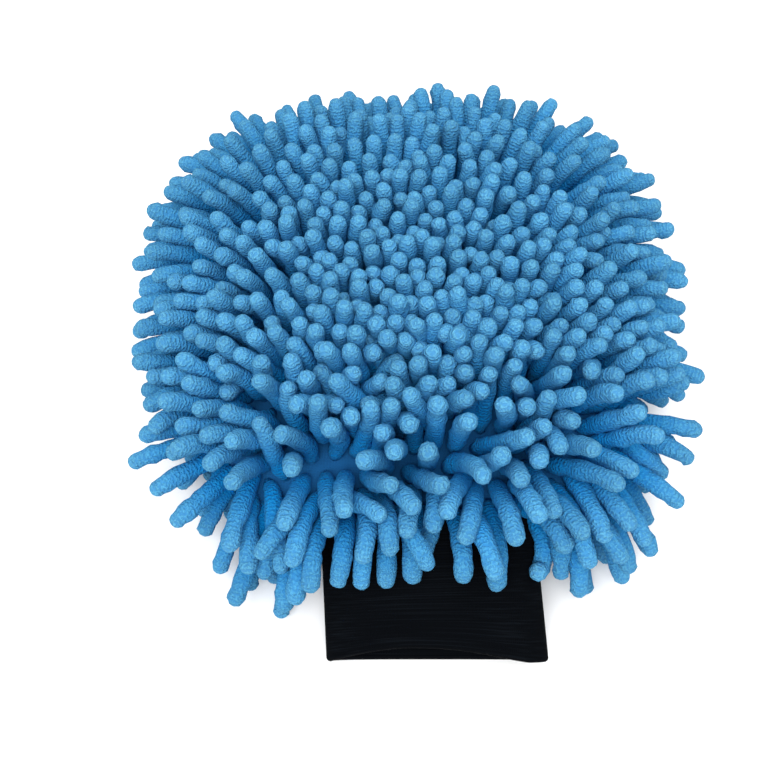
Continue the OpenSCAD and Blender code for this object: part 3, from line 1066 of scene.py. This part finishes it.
class MITT_OT_cuff(Operator):
    """Doubled knit cuff with its open mouth, joined to the bag, and the elastic inside it"""

    bl_idname = "mitt.cuff"
    bl_label = "Cuff"

    def execute(self, context):
        cuff = context.scene.mitt_cuff
        shades = context.scene.mitt_colours
        fold = cuff.knit / 2
        lip_drop = cuff.height / 2 * math.sin(cuff.slope)
        reach = (HINGE.y - CUFF_LOW.y - lip_drop) / math.cos(cuff.slope)
        turn = np.linspace(-np.pi / 2, np.pi / 2, 9)[1:-1]
        rings, tucked_in = 30, 3.5 * MM
        out = np.linspace(-tucked_in, reach - fold, rings)
        along = np.concatenate([out, reach - fold + fold * np.cos(turn), out[::-1]])
        inner = np.full(rings, cuff.knit)
        inset = np.concatenate([np.zeros(rings), fold + fold * np.sin(turn), inner])
        rib = cuff_tube("cuff_rib", cuff, reach, along, inset)
        finish_piece(rib, None, "cuff_rib", cuff_material(), "cuff_knit")
        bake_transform(rib)
        back, front, band_rings = 13 * MM, 1 * MM, 8
        run = np.linspace(reach - fold - back, reach - fold - front, band_rings)
        band = cuff_tube("elastic_band", cuff, reach, run, np.full(band_rings, fold))
        thicken(band, 0.8 * MM)
        # The darker share is painted shade in the elastic's hollows.
        dark = darker(shades.elastic, 0.6)
        material = knit_material("woven_elastic", shades.elastic, dark, 500, 1200)
        finish_piece(band, "cuff", "elastic_band", material, "cuff_elastic")
        return {"FINISHED"}


def cuff_tube(name, cuff, reach, along, inset):
    """Part of the flattened cuff: rings at the distances along from its seam, each inset from its
    outside. The ring is a superellipse. The upper lip stands back from the lower one, the upper
    layer sinks a little in the middle and has slight ripples, and the mouth lies turned against
    the seam."""
    around = 128
    angle = 2 * np.pi * np.arange(around) / around
    half_w, half_h = cuff.width / 2, cuff.height / 2
    along, angle, inset = along[:, None], angle[None, :], inset[:, None]
    x = np.sign(np.cos(angle)) * np.abs(np.cos(angle)) ** 0.6 * (half_w - inset)
    z = np.sign(np.sin(angle)) * np.abs(np.sin(angle)) ** 0.75 * (half_h - inset)
    x, z, along, angle = np.broadcast_arrays(x, z, along, angle)
    upper = np.clip(np.sin(angle), 0, 1)
    near = np.clip(along / reach, 0, 1)
    swell = np.cos(np.clip((x + 0.008) / half_w, -1, 1) * np.pi / 2)
    shifted = along - cuff.top_setback * upper * swell * near**4
    sink = cuff.sink * upper * swell * np.exp(-(((near - 0.62) / 0.25) ** 2))
    ripple = 0.25 * MM * np.sin(x * 260 + along * 40) * upper * near
    z = z - sink + ripple
    ca, sa = math.cos(cuff.slope), math.sin(cuff.slope)
    turn = x * math.tan(cuff.turn) * near
    y = HINGE.y - shifted * ca - z * sa + turn
    points = np.stack([x, y, HINGE.z - shifted * sa + z * ca], -1)
    rows = len(points)
    faces = grid_faces(rows, around, loop_columns=True)
    arc = np.linspace(0, 2 * (cuff.width + cuff.height), around + 1)
    step = np.concatenate([[0], np.cumsum(np.linalg.norm(np.diff(points[:, 0], axis=0), axis=1))])
    r, c = np.arange(rows - 1)[:, None], np.arange(around)[None, :]
    corners = (rows - 1, around, 4)
    u = np.broadcast_to(np.stack([arc[c], arc[c + 1], arc[c + 1], arc[c]], -1), corners)
    v = np.broadcast_to(np.stack([step[r], step[r], step[r + 1], step[r + 1]], -1), corners)
    return new_piece(name, points, faces.tolist(), np.stack([u, v], -1).reshape(-1, 2))


class MITT_OT_stage(Operator):
    """Pale floor, soft studio light and the camera"""

    bl_idname = "mitt.stage"
    bl_label = "Stage"

    def execute(self, context):
        scene = context.scene
        stage = scene.mitt_stage
        scene.view_settings.view_transform = "Standard"
        level = math.cos(stage.elevation)
        across, back = -math.sin(stage.azimuth) * level, -math.cos(stage.azimuth) * level
        eye = Vector((across, back, math.sin(stage.elevation)))
        camera = bpy.data.objects.new("camera", bpy.data.cameras.new("camera"))
        scene.collection.objects.link(camera)
        camera.data.lens = stage.lens
        camera.data.clip_start, camera.data.clip_end = 0.01, 50
        camera.location = Vector(stage.aim) + eye * stage.distance
        camera.rotation_euler = (-eye).to_track_quat("-Z", "Y").to_euler()
        scene.camera = camera
        world = bpy.data.worlds.new("surround")
        scene.world = world
        world.use_nodes = True
        background = world.node_tree.nodes["Background"]
        background.inputs["Color"].default_value = (1, 1, 1, 1)
        background.inputs["Strength"].default_value = stage.fill
        for name, spot, size, power in (
            ("key", (-0.25, -0.60, 0.90), 0.9, stage.key),
            ("top", (0.25, 0.15, 1.1), 1.2, stage.key * 0.75),
        ):
            lamp = bpy.data.objects.new(name, bpy.data.lights.new(name, "AREA"))
            lamp.data.size = size
            lamp.data.energy = power
            lamp.location = spot
            towards = Vector((0, 0, 0.03)) - Vector(spot)
            lamp.rotation_euler = towards.to_track_quat("-Z", "Y").to_euler()
            scene.collection.objects.link(lamp)
        side = 12.0
        corners = np.array([[-1, -1, 0], [1, -1, 0], [1, 1, 0], [-1, 1, 0]]) * side / 2
        floor = new_piece("floor", corners, [[0, 1, 2, 3]], smooth=False)
        material, tree, shader = new_material("paper")
        shader.inputs["Roughness"].default_value = 0.9
        grain = node(tree, "ShaderNodeTexNoise", {"Scale": 400}).outputs["Fac"]
        shade = remap(tree, grain, 0, 1, 0.93, 0.97, "LINEAR")
        tree.links.new(shade, shader.inputs["Base Color"])
        floor.data.materials.append(material)
        return {"FINISHED"}


class MITT_PT_panel(Panel):
    """The mitt's pieces and settings"""

    bl_label = "Wash Mitt"
    bl_idname = "MITT_PT_panel"
    bl_space_type = "VIEW_3D"
    bl_region_type = "UI"
    bl_category = "Wash Mitt"

    def draw(self, context):
        for made in OPERATORS:
            self.layout.operator(made.bl_idname)
        for group in GROUPS:
            settings = getattr(context.scene, group)
            box = self.layout.box()
            box.label(text=group.replace("_", " "))
            for name in settings.__annotations__:
                box.prop(settings, name)


GROUPS = {
    "mitt_pile": PileSettings,
    "mitt_cloth": ClothSettings,
    "mitt_cuff": CuffSettings,
    "mitt_colours": ColourSettings,
    "mitt_stage": StageSettings,
}
OPERATORS = [
    MITT_OT_stage,
    MITT_OT_backing,
    MITT_OT_lining,
    MITT_OT_seams,
    MITT_OT_cuff,
    MITT_OT_top_pile,
    MITT_OT_palm_pile,
]


def register():
    for name, group in GROUPS.items():
        bpy.utils.register_class(group)
        setattr(bpy.types.Scene, name, PointerProperty(type=group))
    for made in OPERATORS + [MITT_PT_panel]:
        bpy.utils.register_class(made)


def unregister():
    for made in reversed(OPERATORS + [MITT_PT_panel]):
        bpy.utils.unregister_class(made)
    for name, group in GROUPS.items():
        delattr(bpy.types.Scene, name)
        bpy.utils.unregister_class(group)


def main():
    register()
    bpy.ops.mitt.stage()
    bpy.ops.mitt.backing()
    bpy.ops.mitt.lining()
    bpy.ops.mitt.seams()
    bpy.ops.mitt.cuff()
    bpy.ops.mitt.top_pile()
    bpy.ops.mitt.palm_pile()


if __name__ == "__main__":
    main()
